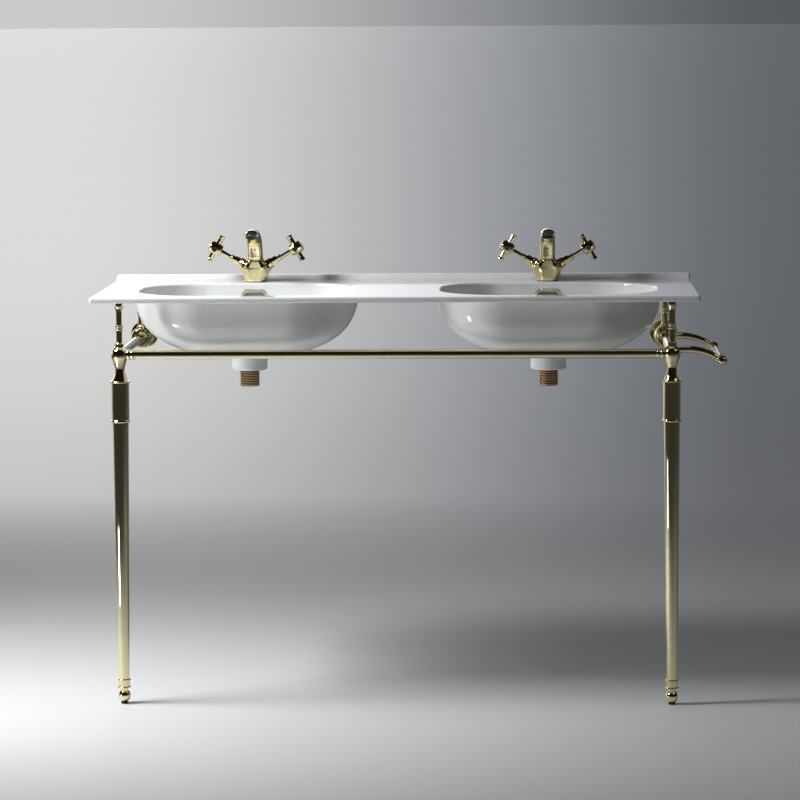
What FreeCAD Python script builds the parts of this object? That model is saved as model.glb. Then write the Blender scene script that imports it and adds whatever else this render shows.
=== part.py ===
"""Console washstand: a double-bowl ceramic top on a turned brass stand, with two basin taps.

Millimetres. +X to the right, +Y towards the wall, +Z up. The origin is on the wall plane, on the
centre line, level with the deck's top face. The floor is deck_height below it.
"""
import FreeCAD
import Part
import math
import os

Vector = FreeCAD.Vector
X_AXIS = Vector(1, 0, 0)
Y_AXIS = Vector(0, 1, 0)
Z_AXIS = Vector(0, 0, 1)

# ---- fits ----
slip = 0.05              # radial play of a piece pushed into its socket
running = 0.06           # radial play of a turning spindle or a sliding stem
gap = 0.3                # air between pieces that pass each other
over = 1.0               # how far a cutter runs past a face
weld = 1.0               # how far parts of one casting run into each other
soft_edge = 0.8          # rounding of small edges
tiny = 1e-3              # two levels this close are the same

# ---- ceramic top ----
deck_width = 1250.0
deck_depth = 470.0
deck_height = 850.0      # top face above the floor
deck_thickness = 12.0
deck_corner = 5.0        # plan radius of the front corners
deck_edge = 5.0          # lower arris all round
deck_arris = 4.0         # upper arris along the front and the ends
upstand_depth = 36.0     # from the wall to the foot of its cove
upstand_height = 11.0
upstand_cove = 20.0      # radius of the hollow at its foot
upstand_arris = 5.0      # radius of its front edge

# ---- bowls ----
bowl_width = 448.0       # inside, at the rim
bowl_end_land = 85.0     # deck left outside each bowl
bowl_front_land = 45.0   # deck left in front of the bowls
bowl_rear_land = 111.0   # deck left behind the bowls, to the wall
bowl_corner = 130.0      # plan radius of the bowl's corners at the rim
bowl_depth = 127.0
bowl_wall = 9.0
bowl_roundness = 2.5     # exponent of the side curve across the bowl
bowl_floor_share = 0.3   # flat floor as a share of the rim, across
# from front to back the walls are steep down to a soft turn, with a shallower bottom below it:
# each entry is a share of the depth, and the share of the rim's length that is left there
bowl_turn = ((0, 1), (0.06, 0.999), (0.15, 0.997), (0.26, 0.992), (0.38, 0.982), (0.5, 0.964),
             (0.6, 0.92), (0.7, 0.84), (0.8, 0.735), (0.9, 0.605), (0.96, 0.5), (1, 0.38))
rim_radius = 5.0

# ---- overflow ----
overflow_drop = 26.0     # ring centre below the deck
overflow_width = 55.0
overflow_height = 24.0
overflow_band = 6.0
overflow_corner = 8.0
overflow_proud = 2.5
overflow_spigot = 9.0
overflow_spigot_wall = 1.5
duct_width = 50.0
duct_gap = 10.0
duct_wall = 6.0

# ---- wastes ----
drain_rearward = 28.0    # drain's axis behind the bowl's centre
drain_dish = 6.0         # rise of the shallow cone round the drain
drain_dish_width = 9.0
boss_diameter = 75.0
boss_length = 37.0       # below the bowl's underside
boss_edge = 5.0
boss_bore = 44.0
nut_recess_depth = 16.0
nut_recess_room = 1.0    # between the nut's corners and the recess
waste_thread = 41.9      # outside diameter of the threaded tail
waste_core = 40.0        # thread relief where the tail leaves the boss
waste_relief = 2.0
waste_bore = 36.0
waste_tail = 34.0        # tail below the boss
waste_flange = 63.0
waste_flange_thickness = 3.0
waste_seal_thickness = 1.5
waste_slot = 12.0        # width of the two slots that take the overflow's water
waste_nut_across = 52.0
waste_nut_thickness = 11.0
waste_washer_thickness = 3.0
guide_hub = 14.0
guide_length = 12.0
guide_drop = 26.0        # top of the guide hub below the bowl's floor
guide_web = 3.0
plug_stem = 8.0
plug_cap = 60.0
plug_cap_thickness = 5.0
plug_core = 29.0
plug_core_length = 10.0
plug_lip = 1.5
plug_lip_width = 2.0     # lip under the seal, past the core
plug_edge = 1.5
plug_stem_end = 2.0      # stem below the guide
plug_seal_height = 4.0
plug_travel = 8.0

# ---- taps ----
tap_setback = 62.0
tap_base = 47.0          # across the flats of the eight-sided foot
tap_foot = 4.0           # height of its straight part
tap_shoulder_width = 68.0
tap_shoulder_depth = 42.0
tap_shoulder_height = 30.0
tap_waist = 36.0         # across the body where the nozzles leave it
tap_waist_height = 45.0
tap_waist_forward = 3.0
tap_neck = 26.0          # across the body where it has run into the spout
tap_neck_height = 54.0
tap_neck_forward = 5.0
tap_gasket = 1.2
shank_diameter = 32.0
shank_length = 44.0      # below the deck's top face
shank_hole_gap = 1.5
inlet_diameter = 10.0
inlet_spacing = 16.0
inlet_depth = 24.0
tap_washer_diameter = 44.0
tap_washer_thickness = 3.0
tap_nut_across = 38.0
tap_nut_thickness = 10.0
spout_width = 32.0
spout_reach = 117.0      # spout's end in front of the tap's axis
spout_height = 108.0     # centre line of the spout's outer half above the deck
spout_nose = 3.0         # rounding of the spout's end
outlet_back = 10.0       # middle of the outlet's face behind the spout's end
outlet_drop = 4.5        # and below its centre line
aerator_diameter = 25.0
aerator_depth = 9.0
aerator_proud = 2.0
aerator_rim = 2.8
aerator_recess = 3.0
aerator_tilt = 62.0      # outlet's facing below the horizontal, degrees
valve_tilt = 30.0        # handle axes above the horizontal, degrees
valve_cross_height = 21.6
nozzle_across = 22.0
nozzle_length = 36.0     # along the handle axis, from where it crosses the centre line
bonnet_ring = 23.0
bonnet_ring_length = 4.0
bonnet_nut_across = 17.5
bonnet_nut_length = 13.0
bonnet_sleeve = 12.0
bonnet_collar = 14.6
bonnet_collar_length = 4.0
bonnet_length = 27.0     # from the nozzle's face to the end of the collar
bonnet_thread = 15.8
bonnet_thread_length = 14.0
spindle_diameter = 9.2
spindle_inside = 10.0    # spindle inside the body, past the nozzle's face
hub_start = 86.5         # along the handle axis
hub_length = 28.0
hub_diameter = 26.4
hub_barrel = 1.2         # fall of the barrel's side from its middle to its ends
hub_round = 4.0
hub_socket = 8.0
cross_span = 62.0
cross_diameter = 10.8
cross_tip = 12.6
cross_flare = 7.0        # length over which an arm swells to its tip
cross_cap = 3.5          # straight part at its tip
button_diameter = 15.0
button_thickness = 3.2
button_inset = 1.2       # button let into the hub's outer face

# ---- stand ----
leg_end_inset = 57.0     # leg axis in from the deck's end
leg_inset = 40.0         # leg axis behind the deck's front edge
rail_drop = 121.0        # rail axes below the deck's top face
rail_diameter = 19.0
rail_wall = 1.5
spigot_in_rail = 24.0
ball_diameter = 36.0
ball_boss = 20.0         # flat seats on the ball
ferrule_seat = 15.5      # seat to the ball's centre
ferrule_length = 15.5
ferrule_bead = 23.4
ferrule_neck = 20.4
ferrule_groove = 1.0     # between its two beads
collar_diameter = 18.6
collar_rise = 21.0       # top of the post's seat above the rail axis
ball_hold = 0.55         # the ball runs into the waist this share of its radius below its centre
waist_diameter = 20.0
waist_drop = 28.0
waist_sweep = 0.46       # middle of the curve above the waist, as a share of its run
bell_diameter = 34.0
bell_drop = 54.4
bell_sweep_down = 0.57   # middle of the bell's curve, as a share of its drop
bell_sweep_out = 0.33    # and of its flare
leg_flange = 42.0
leg_flange_thickness = 3.4
ring_round = 1.0         # rounding of flanges and rings round the legs
sleeve_diameter = 36.6
sleeve_length = 82.0
sleeve_ring = 41.0
sleeve_ring_height = 5.0
tube_top = 33.4
tube_bottom = 23.0
tube_wall = 1.5
leg_spigot_length = 28.0
ankle_height = 52.0      # top of the foot ferrule above the floor
ankle_length = 18.5
ankle_diameter = 24.8
ankle_ring = 28.6
ankle_ring_height = 3.0
ankle_ledge = 6.5        # height of the foot ferrule's narrow lower bore
foot_ball = 26.6
foot_centre = 16.5       # ball centre above the floor
foot_neck = 15.4
foot_neck_in = 2.5       # neck inside the foot ferrule
foot_thread = 12.0
foot_grip = 11.0         # screw left in the insert with the foot right out
foot_stop = 1.0          # neck to insert with the foot right in
foot_up = 6.0            # screwed in from rest
foot_down = 10.0         # screwed out from rest
insert_length = 28.0
glide_diameter = 14.4
glide_height = 4.0
glide_pin = 6.0
glide_pin_length = 8.0

# ---- posts ----
post_diameter = 13.8
post_base = 18.6
post_base_height = 2.0
post_base_sweep = 8.0    # top of the flare above the base
post_ring = 18.0
post_ring_height = 31.5  # rings above the post's seat
post_ring_step = 6.4
post_ring_share = 0.42   # half of a ring's height, as a share of the step
post_flange = 22.4
post_flange_height = 5.0 # flange and the neck on it, under the pad
post_flange_edge = 2.6
post_flange_ledge = 2.4
post_head_sweep = 9.0
post_stud = 8.0
post_stud_length = 12.0
pad_diameter = 14.0
pad_seat = 15.2          # neck that carries the pad
pad_thickness = 6.0

# ---- wall fittings ----
hub_setback = 60.0       # rear post's axis to the wall
wall_hub = 44.0
wall_hub_length = 24.0
drum_step = 1.4          # the drum's faces stand in front of its rim
drum_rim = 4.0
drum_barrel = 2.4        # fall of the rim's side
wall_disc = 59.0
wall_disc_edge = 4.0
wall_disc_band = 4.0     # flat band inside the rim
wall_disc_rise = 0.5
wall_neck = 30.0
wall_ogee = 12.0
wall_ogee_share = 0.35   # middle of the ogee's curve, as a share of its run
wall_ogee_out = 3.0
plate_diameter = 46.0
plate_thickness = 6.0
plate_pin = 18.0
plate_pin_in = 10.0      # pin inside the hub
plate_bolt_circle = 32.0
plate_hole = 5.5
plate_holes = 3

# ---- towel rail, right-hand side ----
arm_root = 16.4
arm_tip = 11.4
arm_bury = 4.0           # start of the arm's centre line, out from the axis of what carries it
arm_stations = 7
arm_rear_drop = 9.0      # rear arm below the rail's axis
arm_radius = 123.0       # radius of the arm's curve
arm_apex_out = 30.0      # highest point of the arm, out from the leg's axis
arm_apex_up = 8.7
arm_reach = 94.0
arm_collar = 17.6
arm_collar_thickness = 3.0
knob_diameter = 20.4
knob_seat = 0.36         # knob's centre past its collar, as a share of its diameter
towel_bar_diameter = 12.0

# ---- levels and places worked out from the sizes above ----
floor = -deck_height
underside = -deck_thickness
rail_level = -rail_drop
leg_y = -(deck_depth - leg_inset)
leg_x = deck_width / 2 - leg_end_inset
bowl_length = deck_depth - bowl_front_land - bowl_rear_land
bowl_setback = bowl_rear_land + bowl_length / 2
bowl_x = deck_width / 2 - bowl_end_land - bowl_width / 2
bowl_floor = -bowl_depth
drain_setback = bowl_setback - drain_rearward
boss_bottom = bowl_floor - bowl_wall - boss_length
recess_roof = boss_bottom + nut_recess_depth
post_seat = rail_level + collar_rise
post_top = underside - pad_thickness
sleeve_top = rail_level - bell_drop - leg_flange_thickness
sleeve_bottom = sleeve_top - sleeve_length
ankle_top = floor + ankle_height
ankle_bottom = ankle_top - ankle_length
tube_foot = ankle_bottom + ankle_ledge
tube_bore_top = tube_top - 2 * tube_wall
tube_bore_bottom = tube_bottom - 2 * tube_wall
foot_thread_length = foot_grip + foot_down + foot_up + foot_stop
rail_start = ferrule_seat + ferrule_length
rail_spigot = rail_diameter - 2 * rail_wall - 2 * slip
hub_front = -(hub_setback + wall_hub_length / 2)
hub_back = -(hub_setback - wall_hub_length / 2)
side_rail_front = leg_y + rail_start
side_rail_back = hub_front - ferrule_length
SIDES = {"left": -1, "right": 1}


# ---- shape helpers ----
def aim(axis):
    """Rotation that turns +Z to the given axis."""
    return FreeCAD.Rotation(Z_AXIS, axis)


def rod(radius, length, base, axis=Z_AXIS):
    return Part.makeCylinder(radius, length, base, axis)


def ring(outer, inner, length, base, axis=Z_AXIS):
    return rod(outer, length, base, axis).cut(rod(inner, length, base, axis))


def turned(profile, base=Vector(), axis=Z_AXIS):
    """Turn a closed outline about an axis.

    Each entry is (radius, height) for a straight run, or (mid radius, mid height, radius, height)
    for an arc through a middle point. The last point joins the first with a straight run.
    """
    start = Vector(profile[0][0], 0, profile[0][1])
    here = start
    edges = []
    for entry in profile[1:]:
        end = Vector(entry[-2], 0, entry[-1])
        if len(entry) == 4:
            edges.append(Part.Arc(here, Vector(entry[0], 0, entry[1]), end).toShape())
        else:
            edges.append(Part.makeLine(here, end))
        here = end
    edges.append(Part.makeLine(here, start))
    solid = Part.Face(Part.Wire(edges)).revolve(Vector(), Z_AXIS, 360)
    solid.Placement = FreeCAD.Placement(base, aim(axis))
    return solid


def crown(radius, low, high):
    """Outline entry for a spherical crown from a rim at this radius up to the axis."""
    rise = high - low
    sphere = (radius ** 2 + rise ** 2) / (2 * rise)
    angle = math.asin(radius / sphere) / 2
    return (sphere * math.sin(angle), high - sphere + sphere * math.cos(angle), 0, high)


def prism(sides, across, length, base, axis=Z_AXIS, half_turn=True):
    """Regular prism, measured across its flats."""
    radius = across / 2 / math.cos(math.pi / sides)
    start = math.pi / sides if half_turn else 0
    corners = []
    for number in range(sides + 1):
        angle = start + 2 * math.pi * number / sides
        corners.append(Vector(radius * math.cos(angle), radius * math.sin(angle), 0))
    solid = Part.Face(Part.makePolygon(corners)).extrude(Vector(0, 0, length))
    solid.Placement = FreeCAD.Placement(base, aim(axis))
    return solid


def rounded_outline(half_x, half_y, radius, centre):
    """Closed wire: a rectangle in plan with round corners."""
    inner_x = half_x - radius
    inner_y = half_y - radius
    corners = [(1, 1, 0), (-1, 1, 90), (-1, -1, 180), (1, -1, 270)]
    edges = []
    ends = []
    for sign_x, sign_y, start in corners:
        middle = centre + Vector(sign_x * inner_x, sign_y * inner_y, 0)
        points = []
        for angle in (start, start + 45, start + 90):
            turn = math.radians(angle)
            points.append(middle + Vector(radius * math.cos(turn), radius * math.sin(turn), 0))
        ends.append(points)
    for number, points in enumerate(ends):
        edges.append(Part.Arc(*points).toShape())
        edges.append(Part.makeLine(points[2], ends[(number + 1) % 4][0]))
    return Part.Wire(edges)


def shifted(shape, offset):
    copy = shape.copy()
    copy.translate(offset)
    return copy


def sided(shape, side):
    """The right-hand piece as it is, or its mirror image for the left."""
    if side > 0:
        return shape.copy()
    return shape.mirror(Vector(), X_AXIS)


def group(shapes):
    return Part.makeCompound(shapes)


def save(node, shape):
    shape.exportStep("parts/" + node + ".step")


# ---- ceramic top: slab, upstand, two bowls with bosses and overflow ducts, one casting ----
def deck_slab():
    half = deck_width / 2
    block = Part.makeBox(deck_width, deck_depth, deck_thickness, Vector(-half, -deck_depth, underside))

    def at_front_corner(edge):
        box = edge.BoundBox
        return box.ZLength > deck_thickness / 2 and box.YMax < -deck_depth / 2

    block = block.makeFillet(deck_corner, [e for e in block.Edges if at_front_corner(e)])

    def on_level(edge, level):
        box = edge.BoundBox
        return box.ZLength < tiny and abs(box.ZMax - level) < tiny and box.YMin < -tiny

    block = block.makeFillet(deck_edge, [e for e in block.Edges if on_level(e, underside)])
    return block.makeFillet(deck_arris, [e for e in block.Edges if on_level(e, 0)])


def upstand():
    """Raised rear edge: a hollow cove that runs into a rounded lip, with its ends rounded too."""
    half = deck_width / 2
    turn = math.acos(1 - upstand_height / (upstand_cove + upstand_arris))
    foot = Vector(-half, -upstand_depth, 0)

    def on_cove(angle):
        return foot + Vector(0, math.sin(angle), 1 - math.cos(angle)) * upstand_cove

    def on_lip(angle):
        run = (upstand_cove + upstand_arris) * math.sin(turn)
        lip = foot + Vector(0, run, upstand_height - upstand_arris)
        return lip + Vector(0, -math.sin(angle), math.cos(angle)) * upstand_arris

    back = Vector(-half, 0, upstand_height)
    root = Vector(-half, 0, -deck_thickness / 2)
    toe = Vector(-half, foot.y, root.z)
    edges = [Part.Arc(foot, on_cove(turn / 2), on_cove(turn)).toShape(),
             Part.Arc(on_cove(turn), on_lip(turn / 2), on_lip(0)).toShape()]
    for start, end in ((on_lip(0), back), (back, root), (root, toe), (toe, foot)):
        edges.append(Part.makeLine(start, end))
    block = Part.Face(Part.Wire(edges)).extrude(Vector(deck_width, 0, 0))

    def on_end(edge):
        box = edge.BoundBox
        return box.XLength < tiny and box.ZMin > -tiny and box.YLength > tiny

    return block.makeFillet(deck_arris, [e for e in block.Edges if on_end(e)])


def bowl_block(grow):
    """The bowl's inside, or a skin outside it by grow, centred on x = 0."""
    reach = (1 - bowl_floor_share ** bowl_roundness) ** (1 / bowl_roundness)
    sections = []
    for share, length_share in bowl_turn:
        across = (1 - (share * reach) ** bowl_roundness) ** (1 / bowl_roundness)
        centre = Vector(0, -bowl_setback, -(bowl_depth + grow) * share)
        half_x = bowl_width / 2 * across + grow
        half_y = bowl_length / 2 * length_share + grow
        corner = min(bowl_corner * across + grow, half_x - weld, half_y - weld)
        sections.append(rounded_outline(half_x, half_y, corner, centre))
    return Part.makeLoft(sections, True, False)


def rear_wall_at(level):
    """Y of the bowl's rear wall, inside, at a level below the deck."""
    share = -level / bowl_depth
    for (upper, wide), (lower, narrow) in zip(bowl_turn, bowl_turn[1:]):
        if share <= lower:
            break
    left = wide + (narrow - wide) * (share - upper) / (lower - upper)
    return -bowl_setback + bowl_length / 2 * left


def overflow_outline(inset, base):
    """Eight-sided outline of the overflow ring, in the wall's plane, from its centre."""
    half_w = overflow_width / 2 - inset
    half_h = overflow_height / 2 - inset
    cut = overflow_corner - inset * (2 - math.sqrt(2))
    points = []
    for sign_x, sign_y in ((1, 1), (-1, 1), (-1, -1), (1, -1)):
        pair = [Vector(sign_x * half_w, sign_y * (half_h - cut), base),
                Vector(sign_x * (half_w - cut), sign_y * half_h, base)]
        points += pair if sign_x * sign_y > 0 else pair[::-1]
    return Part.makePolygon(points + points[:1])


def overflow_prism(inset, base, length):
    return Part.Face(overflow_outline(inset, base)).extrude(Vector(0, 0, length))


def overflow_place(shape):
    """Set a piece drawn in the ring's plane against the bowl's sloping rear wall."""
    half = overflow_height / 2
    top = rear_wall_at(-overflow_drop + half)
    bottom = rear_wall_at(-overflow_drop - half)
    lean = math.degrees(math.atan2(top - bottom, overflow_height))
    seat = (top + bottom) / 2
    tilt = FreeCAD.Rotation(X_AXIS, 90 - lean)
    placed = shape.copy()
    placed.Placement = FreeCAD.Placement(Vector(0, seat, -overflow_drop), tilt)
    return placed


def overflow_ring():
    flange = overflow_prism(0, 0, overflow_proud)
    rim = [e for e in flange.Edges if e.BoundBox.ZMin > overflow_proud - tiny]
    flange = flange.makeChamfer(soft_edge, rim)
    spigot = overflow_prism(overflow_band - overflow_spigot_wall, -overflow_spigot, overflow_spigot)
    hole = overflow_prism(overflow_band, -2 * overflow_spigot, 3 * overflow_spigot)
    return overflow_place(flange.fuse(spigot).cut(hole))


def overflow_opening():
    """What the ring needs taken out of the bowl's rear wall."""
    seat = overflow_prism(-slip, 0, 3 * overflow_proud)
    hole = overflow_prism(overflow_band - overflow_spigot_wall - slip, -bowl_wall - duct_gap,
                          bowl_wall + duct_gap)
    return overflow_place(seat.fuse(hole))


def single_bowl():
    """Outer walls of one bowl with its boss and duct, and all that is hollow in it."""
    outer = bowl_block(bowl_wall)
    drain = Vector(0, -drain_setback, 0)
    boss_top = bowl_floor - bowl_wall / 2
    edge = boss_edge
    turn = edge * (1 - math.sqrt(0.5))
    boss = turned([(0, boss_top), (0, boss_bottom), (boss_diameter / 2 - edge, boss_bottom),
                   (boss_diameter / 2 - turn, boss_bottom + turn,
                    boss_diameter / 2, boss_bottom + edge),
                   (boss_diameter / 2, boss_top)], drain)
    skin = bowl_wall + duct_gap + duct_wall
    duct_limit = drain_setback - boss_bore / 4
    duct_box = Part.makeBox(duct_width + 2 * duct_wall, duct_limit, bowl_depth + skin + over,
                            Vector(-duct_width / 2 - duct_wall, -duct_limit,
                                   -bowl_depth - skin - over))
    duct = bowl_block(skin).common(duct_box)
    void_box = Part.makeBox(duct_width, duct_limit, bowl_depth + skin,
                            Vector(-duct_width / 2, -duct_limit,
                                   -deck_thickness - bowl_depth - skin))
    void = bowl_block(bowl_wall + duct_gap).cut(outer).common(void_box)
    solid = outer.fuse(duct).fuse(boss)
    hollow = [bowl_block(0), void, overflow_opening()]
    seat = bowl_floor - waste_flange_thickness - waste_seal_thickness
    room = waste_flange / 2 + gap
    hollow.append(turned([(0, seat), (room, seat), (room, bowl_floor),
                          (room + drain_dish_width, bowl_floor + drain_dish),
                          (0, bowl_floor + drain_dish)], drain))
    hollow.append(rod(boss_bore / 2, boss_length + 2 * bowl_wall,
                      drain + Vector(0, 0, boss_bottom)))
    recess = waste_nut_across / math.cos(math.pi / 6) / 2 + nut_recess_room
    hollow.append(rod(recess, nut_recess_depth + over, drain + Vector(0, 0, boss_bottom - over)))
    tap_hole = shank_diameter / 2 + shank_hole_gap
    hollow.append(rod(tap_hole, 4 * deck_thickness, Vector(0, -tap_setback, -2 * deck_thickness)))
    return solid, hollow


def basin_top():
    top = deck_slab().fuse(upstand())
    solid, hollow = single_bowl()
    # trim the bowls' walls level with the deck, then open the bowls
    below = Part.makeBox(deck_width, deck_depth, deck_height,
                         Vector(-deck_width / 2, -deck_depth, -deck_height - deck_thickness / 2))
    solid = solid.common(below)
    for side in SIDES.values():
        top = top.fuse(shifted(solid, Vector(side * bowl_x, 0, 0)))
    top = top.removeSplitter()
    for side in SIDES.values():
        for shape in hollow:
            top = top.cut(shifted(shape, Vector(side * bowl_x, 0, 0)))

    def on_rim(edge):
        box = edge.BoundBox
        flat = box.ZLength < tiny and abs(box.ZMax) < tiny
        rear = -bowl_rear_land + over
        return flat and box.YMax < rear and box.YMin > -deck_depth + bowl_front_land / 2

    rim = [e for e in top.Edges if on_rim(e)]
    return top.makeFillet(rim_radius, rim)


# ---- wastes and plugs, drawn at the drain's axis ----
def waste_body():
    half = waste_thread / 2
    core = waste_core / 2
    bore = waste_bore / 2
    flange = waste_flange / 2
    top = bowl_floor
    under = top - waste_flange_thickness
    bottom = boss_bottom - waste_tail
    relief = boss_bottom - waste_relief
    body = turned([(bore, bottom), (half, bottom), (half, relief), (core, relief),
                   (core, boss_bottom), (half, boss_bottom), (half, under), (flange, under),
                   (flange, top - soft_edge), (flange - soft_edge, top), (bore + soft_edge, top),
                   (bore, top - soft_edge)])
    guide_top = top - guide_drop
    body = body.fuse(ring(guide_hub / 2, plug_stem / 2 + running, guide_length,
                          Vector(0, 0, guide_top - guide_length)))
    for number in range(4):
        web = Part.makeBox(bore - guide_hub / 2 + 2 * weld, guide_web, guide_length / 2,
                           Vector(guide_hub / 2 - weld, -guide_web / 2, guide_top - guide_length))
        web.rotate(Vector(), Z_AXIS, 45 + 90 * number)
        body = body.fuse(web)
    slot_top = bowl_floor - bowl_wall
    for angle in (0, 180):
        slot = Part.makeBox(waste_slot, half * 2, duct_gap,
                            Vector(-waste_slot / 2, 0, slot_top - duct_gap))
        slot.rotate(Vector(), Z_AXIS, angle)
        body = body.cut(slot.common(ring(half + over, guide_hub, duct_gap,
                                         Vector(0, 0, slot_top - duct_gap))))
    return body


def waste_seals():
    under = bowl_floor - waste_flange_thickness
    upper = ring(waste_flange / 2, waste_thread / 2 + slip, waste_seal_thickness,
                 Vector(0, 0, under - waste_seal_thickness))
    lower = ring(waste_nut_across / 2, waste_thread / 2 + slip, waste_washer_thickness,
                 Vector(0, 0, recess_roof - waste_washer_thickness))
    return [upper, lower]


def waste_nut():
    base = Vector(0, 0, recess_roof - waste_washer_thickness - waste_nut_thickness)
    nut = prism(6, waste_nut_across, waste_nut_thickness, base)
    return nut.cut(rod(waste_thread / 2 + slip, waste_nut_thickness, base))


def plug():
    """Plug at rest, lifted clear of its seat by its travel."""
    under = bowl_floor + gap + plug_travel
    half = plug_cap / 2
    core = plug_core / 2
    stem = plug_stem / 2
    lip = core + plug_lip_width
    foot = bowl_floor - guide_drop - guide_length - plug_stem_end
    low = under - plug_core_length
    profile = [(0, foot), (stem, foot), (stem, low), (lip, low), (lip, low + plug_lip),
               (core, low + plug_lip), (core, under), (half - plug_edge, under),
               (half, under + plug_edge),
               crown(half, under + plug_edge, under + plug_cap_thickness)]
    return turned(profile)


def plug_seal():
    base = bowl_floor + gap + plug_travel - plug_core_length + plug_lip
    outer = waste_bore / 2 - gap
    inner = plug_core / 2 + slip
    bulge = outer - soft_edge
    return turned([(inner, base), (bulge, base), (outer, base + plug_seal_height / 2,
                                                  bulge, base + plug_seal_height),
                   (inner, base + plug_seal_height)])


# ---- taps, drawn with the foot's centre on the deck at the origin ----
def valve_axis(side):
    tilt = math.radians(valve_tilt)
    return Vector(side * math.cos(tilt), 0, math.sin(tilt))


def valve_point(side, along):
    return Vector(0, 0, valve_cross_height) + valve_axis(side) * along


def octagon(half_x, half_y, level):
    cut = math.tan(math.pi / 8)
    points = []
    for sign_x, sign_y in ((1, 1), (-1, 1), (-1, -1), (1, -1)):
        pair = [Vector(sign_x * half_x, sign_y * half_y * cut, level),
                Vector(sign_x * half_x * cut, sign_y * half_y, level)]
        points += pair if sign_x * sign_y > 0 else pair[::-1]
    return Part.makePolygon(points + points[:1])


def spout():
    """The spout as a loft of ovals that lean forward as it rises.

    Each station is its share of the reach and of the height, its lean from level in degrees, and
    its width and thickness as shares of the spout's width.
    """
    half = spout_width / 2
    stations = [(0, 0.074, 0, 1, 1), (0.026, 0.417, 14, 1, 0.95), (0.171, 0.741, 40, 1, 0.845),
                (0.444, 0.935, 66, 0.975, 0.75), (0.769, 1, 86, 0.945, 0.675),
                (1, 0.996, 96, 0.91, 0.64)]
    wires = []
    for forward, up, lean, wide, thick in stations:
        oval = Part.Ellipse(Vector(), half * wide, half * thick).toShape()
        centre = Vector(0, -spout_reach * forward, spout_height * up)
        oval.Placement = FreeCAD.Placement(centre, FreeCAD.Rotation(X_AXIS, lean))
        wires.append(Part.Wire(oval))
    solid = Part.makeLoft(wires, True, False)
    nose = -(spout_reach - 2 * spout_nose)
    return solid.makeFillet(spout_nose, [e for e in solid.Edges if e.BoundBox.YMax < nose])


def outlet_axis():
    tilt = math.radians(aerator_tilt)
    return Vector(0, -math.cos(tilt), -math.sin(tilt))


OUTLET = Vector(0, outlet_back - spout_reach, spout_height - outlet_drop)


def tap_body():
    """Faceted body that runs up into the spout, with two nozzles and a threaded shank."""
    half = tap_base / 2
    waist = octagon(tap_waist / 2, tap_waist / 2, tap_waist_height)
    neck = octagon(tap_neck / 2, tap_neck / 2, tap_neck_height)
    body = Part.makeLoft([octagon(half, half, tap_gasket), octagon(half, half, tap_gasket + tap_foot),
                          octagon(tap_shoulder_width / 2, tap_shoulder_depth / 2,
                                  tap_shoulder_height),
                          shifted(waist, Vector(0, -tap_waist_forward, 0)),
                          shifted(neck, Vector(0, -tap_neck_forward, 0))], True, True)
    body = body.fuse(spout())
    for side in SIDES.values():
        nozzle = prism(8, nozzle_across, nozzle_length, valve_point(side, 0), valve_axis(side))
        body = body.fuse(nozzle)
    body = body.fuse(rod(shank_diameter / 2, shank_length + tap_gasket + tap_foot,
                         Vector(0, 0, -shank_length)))
    out = outlet_axis()
    body = body.cut(prism(4, 2 * spout_width, spout_width, OUTLET, out))
    body = body.cut(rod(aerator_diameter / 2 + slip, aerator_depth + over, OUTLET + out * over,
                        out * -1))
    for side in SIDES.values():
        body = body.cut(rod(bonnet_thread / 2 + slip, bonnet_thread_length + over,
                            valve_point(side, nozzle_length + over), valve_axis(side) * -1))
        body = body.cut(rod(inlet_diameter / 2, inlet_depth,
                            Vector(side * inlet_spacing / 2, 0, -shank_length)))
    return body


def aerator():
    out = outlet_axis()
    half = aerator_diameter / 2
    deep = -aerator_depth
    face = aerator_proud
    screen = face - aerator_recess
    return turned([(0, deep), (half, deep), (half, face - soft_edge), (half - soft_edge, face),
                   (half - aerator_rim, face), (half - aerator_rim, screen), (0, screen)],
                  OUTLET, out)


def bonnet(side):
    thread = bonnet_thread / 2
    bore = spindle_diameter / 2 + running
    ring_end = bonnet_ring_length
    nut_end = ring_end + bonnet_nut_length
    collar_start = bonnet_length - bonnet_collar_length
    half_ring = bonnet_ring / 2
    collar = bonnet_collar / 2
    sleeve = bonnet_sleeve / 2
    body = turned([(bore, -bonnet_thread_length), (thread, -bonnet_thread_length), (thread, 0),
                   (half_ring - soft_edge, 0),
                   (half_ring, ring_end / 2, half_ring - soft_edge, ring_end),
                   (sleeve, ring_end), (sleeve, collar_start),
                   (collar, collar_start + bonnet_collar_length / 2, sleeve, bonnet_length),
                   (bore, bonnet_length)])
    nut = prism(6, bonnet_nut_across, bonnet_nut_length, Vector(0, 0, ring_end))
    body = body.fuse(nut.cut(rod(bore, nut_end, Vector())))
    body.Placement = FreeCAD.Placement(valve_point(side, nozzle_length), aim(valve_axis(side)))
    return body


def spindle(side):
    start = nozzle_length - spindle_inside
    length = hub_start + hub_socket - start
    return rod(spindle_diameter / 2, length, valve_point(side, start), valve_axis(side))


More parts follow.
